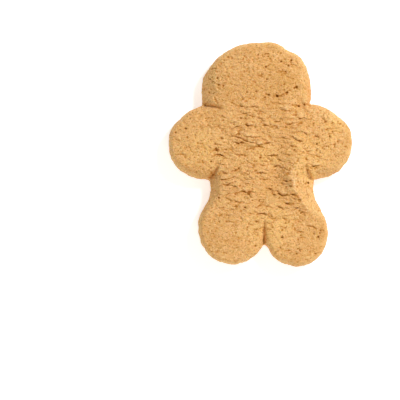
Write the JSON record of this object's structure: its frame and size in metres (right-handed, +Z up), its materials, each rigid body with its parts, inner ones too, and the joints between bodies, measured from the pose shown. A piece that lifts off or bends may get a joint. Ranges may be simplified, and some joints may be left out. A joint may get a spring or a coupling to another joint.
{
  "type": "ginger molasses cookie",
  "caption": "Thick soft ginger molasses cookie in a plain person shape with rounded head, arms and legs, a smooth rim, a torn top and a flat base.",
  "frame": {"origin": "middle of the box round the cookie, at the flat base it lies on", "axes": "+Y from the legs towards the head, +X towards the right side as seen from above with the head up, +Z up out of the torn top"},
  "size_m": [0.0789, 0.0966, 0.0132],
  "materials": {
    "crumb": "matte, baked golden brown crumb"
  },
  "bodies": {
    "root": {"cookie": "crumb"}
  },
  "joints": []
}
